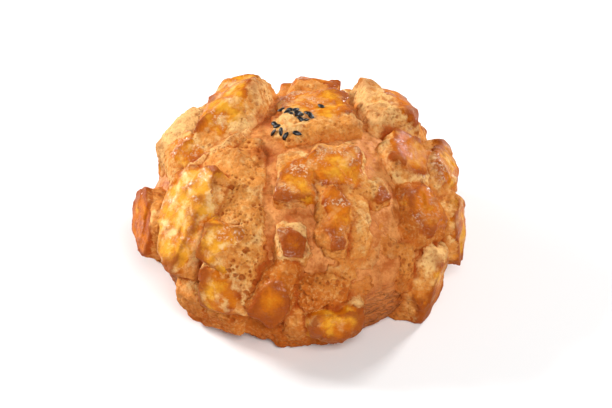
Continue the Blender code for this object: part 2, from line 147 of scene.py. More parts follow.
# Thin scraps of crust that the loaf tore off as it rose, low on the right of the front.
SCRAPS = [
    Plate(28, 0.0500, 0.0044, 0.0054, turn=15, rise=-0.0004, skirt=0.0012, bake=0.2),
    Plate(38, 0.0475, 0.0028, 0.0075, turn=-8, rise=-0.0002, skirt=0.0010, bake=0.6),
    Plate(17, 0.0505, 0.0050, 0.0050, turn=25, rise=0.0004, skirt=0.0018, bake=0.5),
    Plate(23, 0.0610, 0.0050, 0.0034, turn=-20, rise=-0.0006, skirt=0.0010, bake=0.7),
    Plate(43, 0.0605, 0.0038, 0.0085, turn=12, rise=0.0006, skirt=0.0018, bake=0.6),
]
PLATES = CROWN_PLATES + RIGHT_PLATES + LEFT_PLATES + FRONT_PLATES + SCRAPS

# Between some plates the crust has split. A split runs through places on the bread, each a bearing
# and a drop. Its floor is so wide and so high over the bread, and its wall is so steep.
Split = namedtuple("Split", "width floor wall places")
CRUST_SINK = 0.0035
SPLITS = [
    Split(0.0014, -CRUST_SINK, 4.0, [(-171, 0.0365), (-152, 0.0195), (-116, 0.0125), (-63, 0.0110),
                                     (-29, 0.0190), (-20, 0.0260), (-16, 0.0345), (-13, 0.0420)]),
    Split(0.0018, -CRUST_SINK, 4.0, [(160, 0.0385), (156, 0.0370), (129, 0.0225), (101, 0.0210),
                                     (67, 0.0270), (58, 0.0335), (52, 0.0395), (45, 0.0460)]),
    Split(0.0002, -CRUST_SINK, 4.0, [(-54, 0.0090), (-26, 0.0105), (1, 0.0090), (55, 0.0115),
                                     (85, 0.0190)]),
    Split(0.0002, -CRUST_SINK, 4.0, [(5, 0.0320), (5, 0.0415), (7, 0.0480), (14, 0.0500)]),
    Split(0.0004, 0.0016, 0.8, [(-128, 0.0120), (-93, 0.0190), (-80, 0.0310), (-76, 0.0370)]),
]

# The back has rings of like plates, a little unevenly spaced, with random shapes and looks.
Ring = namedtuple("Ring", "drop first last count")
BACK_RINGS = [Ring(0.050, 128, 232, 5), Ring(0.066, 112, 237, 6), Ring(0.081, 98, 262, 8)]
BACK_RANDOM = 5
BACK_SWAY = 0.15
BACK_DROP_SWAY = 0.003
BACK_PITCH = 0.05
BACK_BAKE = (0.2, 0.7)
BACK_SHAPES = {"across": (0.0075, 0.0105), "down": (0.0070, 0.0085), "turn": (-20, 20),
               "taper": (-0.3, 0.3), "rise": (0.0040, 0.0058)}
BACK_WASHES = {"side": (-0.2, 0.2), "fall": (-0.2, 0.2), "across": (0.55, 0.9), "down": (0.55, 0.9),
               "tone": (0.35, 0.95)}

# A plate's outline has straight edges. They lean at random, and every other one cuts a corner.
EDGE_COUNT = 8
EDGE_LEAN = 0.16
CORNER_REACH = (0.72, 0.97)
EDGE_SHARPNESS = 22.0
MOST_SLOPES = 3

# Each broken edge is about as wide as its plate's slope, and rounds off into the top.
STEEPNESS = 0.75
NARROWEST_SLOPE = 0.3
SLOPE_SPREAD = (0.6, 1.4)
SHOULDER = 0.12

# A plate's top is flatter than the loaf, and is chipped away on one side.
FLATNESS_SHARE = 0.7
MOST_FLATTENING = 0.0025
CHIP_SLOPE = (0.15, 0.35)
CHIP_START = (0.2, 0.5)

# A plate doesn't reach places that face another way.
FACING = 0.3
FAR_OUTSIDE = -0.05
TINY = 1e-6

# Beyond a plate's edge the crust thins out and dips under the bread, which is set in a little.
SKIRT_HEIGHT = 0.0020
SKIRT_SHARE = 0.45
LOW_INSET = 0.0018
HIGH_INSET = 0.0005
INSET_FADE = (0.044, 0.030)
SPLIT_MARGIN = 0.0020

# What lies between the plates.
BETWEEN_PLATES = {"height": -CRUST_SINK, "way": -1.0, "wash": FAR_OUTSIDE, "tone": 0.0, "bake": 0.5,
                  "pits": 1.0}
# Crumb is darker towards the foot, between these heights.
LOW_DARKENING = 0.6
LOW_DARKENING_FADE = (0.032, 0.008)

# Waves of two sizes, each with its depth, make each plate's edge wander. Its top is lumpy.
EDGE_WAVES = ((0.009, 0.0020), (0.003, 0.0009))
LUMP_SIZE = 0.007
LUMP_SHARE = 0.15
NOISE_APART = 1.37
SPLIT_WANDER = 0.6

# The washed skin stands a little proud, and ends on the broken edges.
WASH_LIFT = 0.00025
WASH_EDGE = 0.0012
WASH_SLOPE = 0.003
WASH_WAVES = ((0.0035, 0.0016),)
WASH_BORDER = (-0.0002, 0.0008)
WASH_END = (-0.3, 0.0)

# Bare crumb is softer than the washed skin: it is averaged with what lies round it.
SOFTENING = 6
CRISPNESS = 0.4

# The broken faces lean out over the gaps, bare ones less than washed ones.
OVERHANG = 0.0010
OVERHANG_FADE = (0.006, 0.002)
BARE_OVERHANG = 0.3

# Bulges and crests stand out of the surface averaged so many times.
BULGE_ROUNDS = 30
CREST_ROUNDS = 90

# The crust is meshed evenly, given its fine relief and then thinned.
VOXEL = 0.00027
CRUST_TRIANGLES = 556000
# The crust is kept in three pieces, each between two bearings.
SECTORS = (("crust_left", -180, -60), ("crust_front", -60, 60), ("crust_right", 60, 180))
# Sizes of crumb, each with its height. Egg wash smooths much of it away.
CRUMB_SIZES = ((0.0032, 0.00034), (0.0014, 0.00030))
WASH_SMOOTHING = 0.75

# Pores lie in cells of these sizes, each with its share of the depth, and are thicker in patches.
PORE_CELLS = ((0.0020, 1.0), (0.0011, 0.6))
PORE_HASH = 7.3
PORE_DEPTH = 0.00085
PORE_RADIUS = 0.26
PORE_RADIUS_SPREAD = 0.34
PORE_WALL = 1.5
SHALLOWEST_PORE = 0.5
PORE_PATCH_SIZE = 0.008
PORE_PATCH_PLACE = 3.1
PORE_PATCH_RANGE = (-0.25, 0.35)
FEWEST_PORES = 0.4

# Broken faces are made of small flat facets, each leaning its own way.
Facets = namedtuple("Facets", "size lean step")
BIG_FACETS = Facets(0.0065, 0.11, 0.0002)
SMALL_FACETS = Facets(0.0026, 0.09, 0.00006)
FACET_HASH = 7.31
FACETED_HEIGHT = 0.002
HALF = Vector((0.5, 0.5, 0.5))

# What the looks read at each point, and in which unit.
FIELD_UNITS = {"wash": 0.004, "way": 1, "tone": 1, "height": 0.008, "bulge": 0.001, "crest": 0.001}

# The bread is uneven, with upright folds high up and level wrinkles below.
BREAD_LUMPS = ((0.012, 0.0004), (0.0035, 0.0003))
FOLD_SIZE = 0.006
FOLD_STRETCH = np.array([1.0, 1.0, 0.25])
FOLD_DEPTH = 0.0008
WRINKLE_STRETCH = np.array([1.0, 1.0, 4.0])
WRINKLE_DEPTH = 0.0010
WRINKLE_FADE = (0.024, 0.010)

# The underside is cut flat a little above the lowest point of the turned shape.
SLICE_HEIGHT = 0.0025
CRUST_CLEARANCE = 0.0002
CRUST_DIVISIONS = 8
BREAD_DIVISIONS = 7

# Sesame lies in groups and alone, to the right of and behind the crown's middle.
SeedGroup = namedtuple("SeedGroup", "right back count spread", defaults=(1, 0.0))
SEED_GROUPS = [
    SeedGroup(-0.0088, -0.0005, 6, 0.0017),
    SeedGroup(-0.0058, 0.0085),
    SeedGroup(-0.0022, 0.0042, 6, 0.0018),
    SeedGroup(-0.0058, -0.0038),
    SeedGroup(-0.0045, -0.0054),
    SeedGroup(-0.0008, -0.0054),
    SeedGroup(0.0018, 0.0018, 5, 0.0017),
    SeedGroup(0.0068, 0.0092),
]
# In these hollows between the plates the bread has baked a redder brown.
BROWNED_HOLLOWS = (Vector((-0.0106, 0.0076, 0.0530)), Vector((-0.0110, -0.0110, 0.0520)),
                   Vector((0.0288, 0.0085, 0.0470)))
BROWNED_REACH = 0.0065
# The seeds lie in a pale, glossy patch: partly pale glaze, partly painted sheen.
SEEDED_PATCH = Vector((-0.0045, 0.0010, 0.0565))
SEEDED_REACH = 0.0075
# A seed is a flat drop, narrower by this share at its point.
SEED_LENGTH = 0.0030
SEED_WIDTH = 0.0018
SEED_THICKNESS = 0.0011
SEED_POINT = 0.35
SEED_SINK = 0.0003
SEED_DETAIL = {"u_segments": 24, "v_segments": 16}
# Each group is a ring that its seeds stray from.
SEED_RANDOM = 11
SEED_SWAY = 0.2
SEED_SPREAD = (0.75, 1.15)

# The camera looks down on the front through a long lens.
CAMERA_AIM = Vector((0.002, 0.0, 0.023))
CAMERA_DISTANCE = 0.479
CAMERA_ELEVATION = 37
CAMERA_LENS = 85

# Square lights, each with its place, size and watts, in a dim white room with a pale floor.
LIGHTS = (
    ("left_light", (-0.66, 0.24, 0.44), 0.18, 6.6),
    ("right_light", (0.52, 0.50, 0.38), 0.16, 4.7),
    ("back_light", (-0.62, 0.52, 0.14), 0.12, 1.5),
    ("front_light", (0.15, -0.60, 0.66), 0.45, 6.0),
)
LIGHTS_AIM = Vector((0, 0, 0.03))
ROOM_WHITE = (1, 1, 1, 1)
ROOM_LIGHT = 0.14
FLOOR_WHITE = (0.92, 0.92, 0.92, 1)
FLOOR_SIZE = 3.0
FLOOR_HEIGHT = -0.0001


def turned_profile():
    """Drop, radius and height along the bread, from the crown to the middle of the base."""
    turn = np.linspace(0, math.pi / 2, PROFILE_STEPS)
    upper_radius = BREAD_RADIUS * np.sin(turn)
    upper_height = WAIST_HEIGHT + (BREAD_HEIGHT - WAIST_HEIGHT) * np.cos(turn)
    lower_radius = FOOT_RADIUS + (BREAD_RADIUS - FOOT_RADIUS) * np.cos(turn)
    lower_height = WAIST_HEIGHT * (1 - np.sin(turn))
    base_radius = np.linspace(FOOT_RADIUS, 0, PROFILE_STEPS)
    radius = np.concatenate([upper_radius, lower_radius[1:], base_radius[1:]])
    height = np.concatenate([upper_height, lower_height[1:], np.zeros(PROFILE_STEPS - 1)])
    steps = np.hypot(np.diff(radius), np.diff(height))
    return np.concatenate([[0], np.cumsum(steps)]), radius, height


DROPS, RADII, HEIGHTS = turned_profile()
SLOPES = np.arctan2(-np.gradient(HEIGHTS, DROPS), np.gradient(RADII, DROPS))


def bread_at(bearing, drop):
    """Points on the bread and the directions that face out of it there."""
    turn = np.radians(bearing)
    radius = np.interp(drop, DROPS, RADII)
    height = np.interp(drop, DROPS, HEIGHTS)
    slope = np.interp(drop, DROPS, SLOPES)
    outward = np.stack([np.sin(turn), -np.cos(turn), np.zeros_like(turn)], -1)
    upward = np.array([0.0, 0.0, 1.0])
    points = outward * radius[..., None] + upward * height[..., None]
    normals = outward * np.sin(slope)[..., None] + upward * np.cos(slope)[..., None]
    return points, normals


def noise_at(points, size):
    """Smooth noise from about -1 to 1, which wanders over distances of about this size."""
    return np.array([noise.noise(Vector(point)) for point in points / size])


def ridges_at(points, size):
    """The same noise folded into sharp ridges of height 1."""
    return 1 - np.abs(noise_at(points, size)) * 2


def waves_at(points, waves):
    """Shifts in all directions, by the same noise read in three far places, at each size."""
    shifts = np.zeros((len(points), 3))
    for size, depth in waves:
        for axis in range(3):
            shifts[:, axis] += depth * noise_at(points + NOISE_APART * (axis + 1), size)
    return shifts


def facets_at(points, facets):
    """Height of a surface of little flat facets, which lean and step."""
    height = np.empty(len(points))
    for index, point in enumerate(points / facets.size):
        place = Vector(point)
        _, centres = noise.voronoi(place)
        centre = centres[0]
        lean = noise.cell_vector(centre * FACET_HASH) - HALF
        step = noise.cell(centre * FACET_HASH) - 0.5
        height[index] = 2 * facets.lean * facets.size * lean.dot(place - centre) + facets.step * step
    return height


def smoothstep(low, high, value):
    way = np.clip((value - low) / (high - low), 0, 1)
    return way * way * (3 - 2 * way)


def smooth_min(first, second, width):
    near = np.clip(width - np.abs(first - second), 0, None) / width
    return np.minimum(first, second) - near * near * width / 4


def plate_frame(plate):
    """The middle of a plate on the bread, and its across, down and outward directions."""
    middle, out = bread_at(np.array(float(plate.bearing)), np.array(plate.drop))
    turn = math.radians(plate.bearing)
    level = np.array([math.cos(turn), math.sin(turn), 0.0])
    downhill = np.cross(level, out)
    swing = math.radians(plate.turn)
    across = level * math.cos(swing) + downhill * math.sin(swing)
    down = downhill * math.cos(swing) - level * math.sin(swing)
    return middle, across, down, out


def straight_edges(across, down, taper, draw):
    """A broken slab's straight edges: the direction each faces and how far out it is."""
    edges = []
    for index in range(EDGE_COUNT):
        right = math.cos(math.tau * index / EDGE_COUNT)
        low = math.sin(math.tau * index / EDGE_COUNT)
        lean = draw.uniform(-EDGE_LEAN, EDGE_LEAN)
        if index % 2:
            corner = draw.uniform(*CORNER_REACH)
            touch = (math.copysign(across, right) * corner, math.copysign(down, low) * corner)
            normal = math.atan2(math.copysign(across, low), math.copysign(down, right))
        else:
            touch = (across * right, down * low)
            normal = math.atan2(low + abs(right) * taper * across / down / 2, right)
        facing = (math.cos(normal + lean), math.sin(normal + lean))
        edges.append((facing, facing[0] * touch[0] + facing[1] * touch[1]))
    return edges


def edge_ways(edges, slopes, side, fall):
    """How far in from the nearest edge each point is: in metres, and as a share of its slope."""
    inside = np.full(len(side), np.inf)
    total = np.zeros(len(side))
    for (facing, reach), slope in zip(edges, slopes):
        way_in = reach - side * facing[0] - fall * facing[1]
        inside = np.minimum(inside, way_in)
        total += np.exp(-EDGE_SHARPNESS * np.clip(way_in / slope, -MOST_SLOPES, MOST_SLOPES))
    return inside, -np.log(total) / EDGE_SHARPNESS


def edge_slopes(plate, edges, draw):
    """How wide each broken edge is: less where the plate's flat top is moved to."""
    slopes = []
    for facing, _ in edges:
        skew = 1 - plate.cap_across * facing[0] - plate.cap_down * facing[1]
        slope = STEEPNESS * plate.slope * max(skew, NARROWEST_SLOPE)
        slopes.append(slope * draw.uniform(*SLOPE_SPREAD))
    return slopes


def top_rise(plate, beyond, side, fall, draw):
    """Height of a plate's top: flatter than the loaf, tilted, and chipped away on one side."""
    rise = plate.rise + np.clip(beyond * FLATNESS_SHARE, 0, MOST_FLATTENING)
    rise += plate.pitch * np.clip(fall, -plate.down, plate.down)
    rise += plate.roll * np.clip(side, -plate.across, plate.across)
    chip = draw.uniform(0, math.tau)
    along = side * math.cos(chip) + fall * math.sin(chip)
    size = min(plate.across, plate.down)
    chip_slope = draw.uniform(*CHIP_SLOPE)
    return rise - chip_slope * np.clip(along - size * draw.uniform(*CHIP_START), 0, None)


def way_into_wash(plate, side, fall, way, draw):
    """How far into a plate's egg wash each point is, from its border or the broken edge."""
    wash = plate.wash
    borders = straight_edges(wash.across * plate.across, wash.down * plate.down, plate.taper, draw)
    wash_side = side - wash.side * plate.across
    wash_fall = fall - wash.fall * plate.down
    into_wash, _ = edge_ways(borders, [1] * EDGE_COUNT, wash_side, wash_fall)
    return np.minimum(into_wash, (way - wash.edge) * WASH_SLOPE)


def leaning(away, out, way, inside):
    """How far broken faces lean out over the gaps, away from their plate's middle."""
    level = away - (away @ out)[:, None] * out
    level /= np.maximum(np.linalg.norm(level, axis=1), TINY)[:, None]
    share = np.clip(way, 0, 1) * smoothstep(*OVERHANG_FADE, inside)
    return level * (OVERHANG * share)[:, None]


def plate_relief(plate, points, warped, washed, normals):
    """One plate's height, way up its broken edge, way into its wash, looks and lean."""
    draw = random.Random(f"{plate.bearing} {plate.drop}")
    middle, across, down, out = plate_frame(plate)
    side = (warped - middle) @ across
    fall = (warped - middle) @ down
    edges = straight_edges(plate.across, plate.down, plate.taper, draw)
    inside, way = edge_ways(edges, edge_slopes(plate, edges, draw), side, fall)
    away = normals @ out < FACING
    inside[away] = FAR_OUTSIDE
    way[away] = -1
    rise = top_rise(plate, (middle - points) @ out, side, fall, draw)
    into_wash = np.full(len(points), FAR_OUTSIDE)
    if plate.wash:
        into_wash = way_into_wash(plate, (washed - middle) @ across, (washed - middle) @ down, way, draw)
        into_wash[away] = FAR_OUTSIDE
    thinning = np.clip(1 + inside / plate.skirt, 0, 1)
    foot = min(SKIRT_HEIGHT, SKIRT_SHARE * plate.rise, plate.rise)
    skirt = (foot + CRUST_SINK) * thinning**2 - CRUST_SINK
    face = np.clip(smooth_min(way, np.ones_like(way), SHOULDER), 0, 1)
    return {
        "height": skirt + (rise - foot) * face + WASH_LIFT * smoothstep(0, WASH_EDGE, into_wash),
        "way": way,
        "wash": into_wash,
        "tone": plate.wash.tone if plate.wash else 0.0,
        "bake": plate.bake,
        "pits": plate.pits,
        "shift": leaning(points - middle, out, way, inside),
    }


def split_distance(split, points):
    """How far each point is from a split's middle line."""
    bearings, drops = np.array(split.places).T
    places, _ = bread_at(bearings, drops)
    nearest = np.full(len(points), np.inf)
    for first, last in zip(places, places[1:]):
        along = last - first
        share = np.clip((points - first) @ along / (along @ along), 0, 1)
        gap = np.linalg.norm(points - first - share[:, None] * along, axis=1)
        nearest = np.minimum(nearest, gap)
    return nearest


def drawn(draw, ranges):
    """A random value from each named range."""
    return {name: draw.uniform(low, high) for name, (low, high) in ranges.items()}


def back_plates():
    """Plates like those in front, at about even spaces round the back."""
    draw = random.Random(BACK_RANDOM)
    looks = random.Random(BACK_RANDOM + 1)
    plates = []
    for ring in BACK_RINGS:
        step = (ring.last - ring.first) / (ring.count - 1)
        for index in range(ring.count):
            bearing = ring.first + index * step + draw.uniform(-BACK_SWAY, BACK_SWAY) * step
            drop = ring.drop + draw.uniform(-BACK_DROP_SWAY, BACK_DROP_SWAY)
            shape = drawn(draw, BACK_SHAPES)
            wash = Wash(**drawn(looks, BACK_WASHES))
            bake = looks.uniform(*BACK_BAKE)
            plates.append(Plate(bearing, drop, pitch=BACK_PITCH, wash=wash, bake=bake, **shape))
    return plates


def mesh_of(shape, name):
    """The mesh of a bmesh, which is done with."""
    mesh = bpy.data.meshes.new(name)
    shape.to_mesh(mesh)
    shape.free()
    return mesh


def read_vertices(mesh, what):
    values = np.empty(len(mesh.vertices) * 3, np.float32)
    mesh.vertices.foreach_get(what, values)
    return values.reshape(-1, 3).astype(float)


def write_points(mesh, points):
    mesh.vertices.foreach_set("co", points.astype(np.float32).ravel())
    mesh.update()


def ball_on_bread(subdivisions):
    """A mesh with even triangles, and each vertex's place on the bread and direction out of it."""
    shape = bmesh.new()
    bmesh.ops.create_icosphere(shape, subdivisions=subdivisions, radius=1)
    mesh = mesh_of(shape, "ball")
    aims = read_vertices(mesh, "co")
    bearing = np.degrees(np.arctan2(aims[:, 0], -aims[:, 1]))
    drop = np.arccos(np.clip(aims[:, 2], -1, 1)) / math.pi * DROPS[-1]
    return mesh, *bread_at(bearing, drop)


def crust_relief(points, normals):
    """The crust's height over the bread at each point, and its looks there."""
    wander = waves_at(points, EDGE_WAVES)
    ragged = waves_at(points, WASH_WAVES)
    relief = {name: np.full(len(points), value) for name, value in BETWEEN_PLATES.items()}
    relief["shift"] = np.zeros((len(points), 3))
    for plate in PLATES + back_plates():
        own = plate_relief(plate, points, points + wander, points + wander + ragged, normals)
        higher = own["height"] > relief["height"]
        for name, values in own.items():
            relief[name][higher] = np.broadcast_to(values, relief[name].shape)[higher]
    height = relief["height"]
    above = height > 0
    height[above] *= 1 + LUMP_SHARE * noise_at(points[above], LUMP_SIZE)
    for split in SPLITS:
        beyond = split_distance(split, points + wander * SPLIT_WANDER) - split.width / 2
        height = np.minimum(height, split.floor + split.wall * np.clip(beyond, 0, None))
        relief["way"] = np.minimum(relief["way"], beyond / SPLIT_MARGIN)
    covered = smoothstep(0.0, FACETED_HEIGHT, height)
    relief["height"] = height + covered * facets_at(points, BIG_FACETS)
    return relief


def add_object(name, data):
    thing = bpy.data.objects.new(name, data)
    bpy.context.scene.collection.objects.link(thing)
    return thing


def with_modifier(mesh, kind, **settings):
    """The mesh that one modifier makes of this one."""
    thing = add_object("shaping", mesh)
    modifier = thing.modifiers.new("shaping", kind)
    for key, value in settings.items():
        setattr(modifier, key, value)
    bpy.context.view_layer.update()
    graph = bpy.context.evaluated_depsgraph_get()
    made = bpy.data.meshes.new_from_object(thing.evaluated_get(graph))
    bpy.data.objects.remove(thing, do_unlink=True)
    return made


def nearest_of(points, places):
    """Which of the points is nearest to each place."""
    tree = kdtree.KDTree(len(points))
    for index, point in enumerate(points):
        tree.insert(point, index)
    tree.balance()
    return np.array([tree.find(place)[1] for place in places])


def pores_at(points):
    """Depth of the large and small pits in the crumb, from 0 to 1."""
    depth = np.zeros(len(points))
    for cell, share in PORE_CELLS:
        for index, point in enumerate(points / cell):
            distances, centres = noise.voronoi(Vector(point))
            chance = noise.cell(centres[0] * PORE_HASH)
            radius = PORE_RADIUS + PORE_RADIUS_SPREAD * chance
            pit = min(1.0, PORE_WALL * max(0.0, 1 - (distances[0] / radius) ** 2))
            deepest = SHALLOWEST_PORE + (1 - SHALLOWEST_PORE) * chance
            depth[index] = max(depth[index], share * pit * deepest)
    return depth


def blurred(mesh, values, rounds):
    """Values on vertices, averaged with their neighbours' this many times."""
    ends = np.empty(len(mesh.edges) * 2, np.int32)
    mesh.edges.foreach_get("vertices", ends)
    first, second = ends[0::2], ends[1::2]
    count = np.bincount(ends, minlength=len(mesh.vertices)).astype(float)
    out = values.astype(float).copy()
    for _ in range(rounds):
        total = np.zeros_like(out)
        for column in range(out.shape[1]):
            total[:, column] = np.bincount(first, out[second, column], minlength=len(out))
            total[:, column] += np.bincount(second, out[first, column], minlength=len(out))
        out = (out + total / count[:, None]) / 2
    return out


def set_attribute(mesh, name, values):
    layer = mesh.attributes.new(name, "FLOAT", "POINT")
    layer.data.foreach_set("value", values.astype(np.float32))


def washed_share(into_wash, way):
    """1 where the egg wash lies, and 0 beyond it and below the broken faces."""
    return smoothstep(*WASH_BORDER, into_wash) * smoothstep(*WASH_END, way)


def standing_out(points, averaged, outward):
    """How far each point stands out of an averaged surface."""
    return np.einsum("ij,ij->i", points - averaged, outward)


def shaped_crust():
    """The plates' surface over the whole loaf, before any fine relief, and its fields."""
    mesh, points, normals = ball_on_bread(CRUST_DIVISIONS)
    relief = crust_relief(points, normals)
    height = relief["height"]
    washed = washed_share(relief["wash"], relief["way"])
    softened = blurred(mesh, height[:, None], SOFTENING)[:, 0]
    height = softened + (height - softened) * (CRISPNESS + (1 - CRISPNESS) * washed)
    overhang = relief["shift"] * (BARE_OVERHANG + (1 - BARE_OVERHANG) * washed)[:, None]
    shaped = points + normals * height[:, None] + overhang
    write_points(mesh, shaped)
    outward = read_vertices(mesh, "normal")
    smooth = blurred(mesh, shaped, BULGE_ROUNDS)
    smoother = blurred(mesh, smooth, CREST_ROUNDS)
    relief["bulge"] = standing_out(shaped, smooth, outward)
    relief["crest"] = standing_out(shaped, smoother, outward)
    return mesh, shaped, relief


def fine_relief(places, washed, pits):
    """How far crumb, facets and pores move each place out, and the pores."""
    crumb = 1 - WASH_SMOOTHING * washed
    offset = facets_at(places, SMALL_FACETS) * crumb
    for size, depth in CRUMB_SIZES:
        offset += depth * noise_at(places, size) * crumb
    patchy = smoothstep(*PORE_PATCH_RANGE, noise_at(places + PORE_PATCH_PLACE, PORE_PATCH_SIZE))
    pores = pores_at(places) * crumb * (FEWEST_PORES + (1 - FEWEST_PORES) * patchy) * pits
    return offset - PORE_DEPTH * pores, pores


def crust_mesh():
    """The cookie crust with its crumb and pores, thinned where it is smooth."""
    mesh, shaped, relief = shaped_crust()
    voxel = VOXEL
    mesh = with_modifier(mesh, "REMESH", mode="VOXEL", voxel_size=voxel)
    places = read_vertices(mesh, "co")
    outward = read_vertices(mesh, "normal")
    source = nearest_of(shaped, places)
    washed = washed_share(relief["wash"][source], relief["way"][source])
    offset, pores = fine_relief(places, washed, relief["pits"][source])
    places += outward * offset[:, None]
    places[:, 2] = np.maximum(places[:, 2], SLICE_HEIGHT + CRUST_CLEARANCE)
    write_points(mesh, places)
    ratio = CRUST_TRIANGLES / (2 * len(mesh.polygons))
    mesh = with_modifier(mesh, "DECIMATE", ratio=ratio)
    kept_places = read_vertices(mesh, "co")
    nearest = nearest_of(places, kept_places)
    for name, unit in FIELD_UNITS.items():
        set_attribute(mesh, name, relief[name][source[nearest]] / unit)
    darker_low = LOW_DARKENING * smoothstep(*LOW_DARKENING_FADE, kept_places[:, 2])
    set_attribute(mesh, "bake", relief["bake"][source[nearest]] + darker_low)
    set_attribute(mesh, "pore", pores[nearest])
    return mesh


def cut_off(shape, bearing, side, is_cut):
    """Cuts one side of a bearing away, and marks the flat faces that close the cut."""
    turn = math.radians(bearing)
    kept = Vector((math.cos(turn), math.sin(turn), 0)) * side
    everything = shape.verts[:] + shape.edges[:] + shape.faces[:]
    bmesh.ops.bisect_plane(shape, geom=everything, plane_co=(0, 0, 0), plane_no=kept, clear_inner=True)
    rim = [edge for edge in shape.edges if edge.is_boundary]
    for face in bmesh.ops.holes_fill(shape, edges=rim, sides=0)["faces"]:
        face[is_cut] = 1


def wedge_of(mesh, first, last):
    """The crust between two bearings, closed by flat cuts and shaded as in the whole."""
    shape = bmesh.new()
    shape.from_mesh(mesh)
    outward = shape.verts.layers.float_vector.new("outward")
    is_cut = shape.faces.layers.int.new("is_cut")
    for vert in shape.verts:
        vert[outward] = vert.normal
    cut_off(shape, first, 1, is_cut)
    cut_off(shape, last, -1, is_cut)
    normals = []
    for face in shape.faces:
        for loop in face.loops:
            normals.append(face.normal.copy() if face[is_cut] else loop.vert[outward].copy())
    shape.verts.layers.float_vector.remove(outward)
    shape.faces.layers.int.remove(is_cut)
    part = mesh_of(shape, "wedge")
    part.shade_smooth()
    part.normals_split_custom_set(normals)
    return part


def bread_mesh():
    """The loaf under the crust: folded, wrinkled near its foot and flat below."""
    mesh, points, normals = ball_on_bread(BREAD_DIVISIONS)
    offset = sum(depth * noise_at(points, size) for size, depth in BREAD_LUMPS)
    low = smoothstep(*WRINKLE_FADE, points[:, 2])
    folds = FOLD_DEPTH * ridges_at(points * FOLD_STRETCH, FOLD_SIZE)
    wrinkles = WRINKLE_DEPTH * ridges_at(points * WRINKLE_STRETCH, FOLD_SIZE)
    offset += folds * (1 - low) + wrinkles * low
    offset -= HIGH_INSET + (LOW_INSET - HIGH_INSET) * smoothstep(*INSET_FADE, points[:, 2])
    points = points + normals * offset[:, None]
    points[:, 2] = np.maximum(points[:, 2], SLICE_HEIGHT)
    write_points(mesh, points)
    mesh.shade_smooth()
    return mesh


def seed_places():
    """Where each seed lies, to the right and behind, and which way it points."""
    draw = random.Random(SEED_RANDOM)
    places = []
    for group in SEED_GROUPS:
        for index in range(group.count):
            angle = math.tau * (index + draw.uniform(-SEED_SWAY, SEED_SWAY)) / group.count
            reach = group.spread * draw.uniform(*SEED_SPREAD)
            right = group.right + reach * math.cos(angle)
            back = group.back + reach * math.sin(angle)
            places.append((right, back, draw.uniform(0, math.pi)))
    return places


def surface_of(mesh, points):
    """The mesh, whose points are these, as a surface that rays can hit."""
    corners = [tuple(point) for point in points]
    return BVHTree.FromPolygons(corners, [tuple(face.vertices) for face in mesh.polygons])


def add_seed(shape, spot, out, swing):
    """One flat drop that lies on the crust at a spot, swung round to its direction."""
    made = bmesh.ops.create_uvsphere(shape, radius=0.5, **SEED_DETAIL)
    for vert in made["verts"]:
        narrowing = 1 - SEED_POINT * (vert.co.z + 0.5) ** 2
        vert.co.x *= narrowing
        vert.co.y *= narrowing
    size = Matrix.Diagonal((SEED_WIDTH, SEED_THICKNESS, SEED_LENGTH, 1.0))
    lie_down = Matrix.Rotation(math.pi / 2, 4, "X")
    spin = Matrix.Rotation(swing, 4, "Z")
    lean = out.to_track_quat("Z", "Y").to_matrix().to_4x4()
    place = Matrix.Translation(spot + out * (SEED_THICKNESS / 2 - SEED_SINK))
    bmesh.ops.transform(shape, matrix=place @ lean @ spin @ lie_down @ size, verts=made["verts"])


def seeds_mesh(surface):
    """All the sesame, a little sunk into the crust."""
    shape = bmesh.new()
    for right, back, swing in seed_places():
        over = Vector((right, back, BREAD_HEIGHT * 2))
        spot, out, _, _ = surface.ray_cast(over, Vector((0, 0, -1)))
        add_seed(shape, spot, out, swing)
    mesh = mesh_of(shape, "sesame_seeds")
    mesh.shade_smooth()
    return mesh


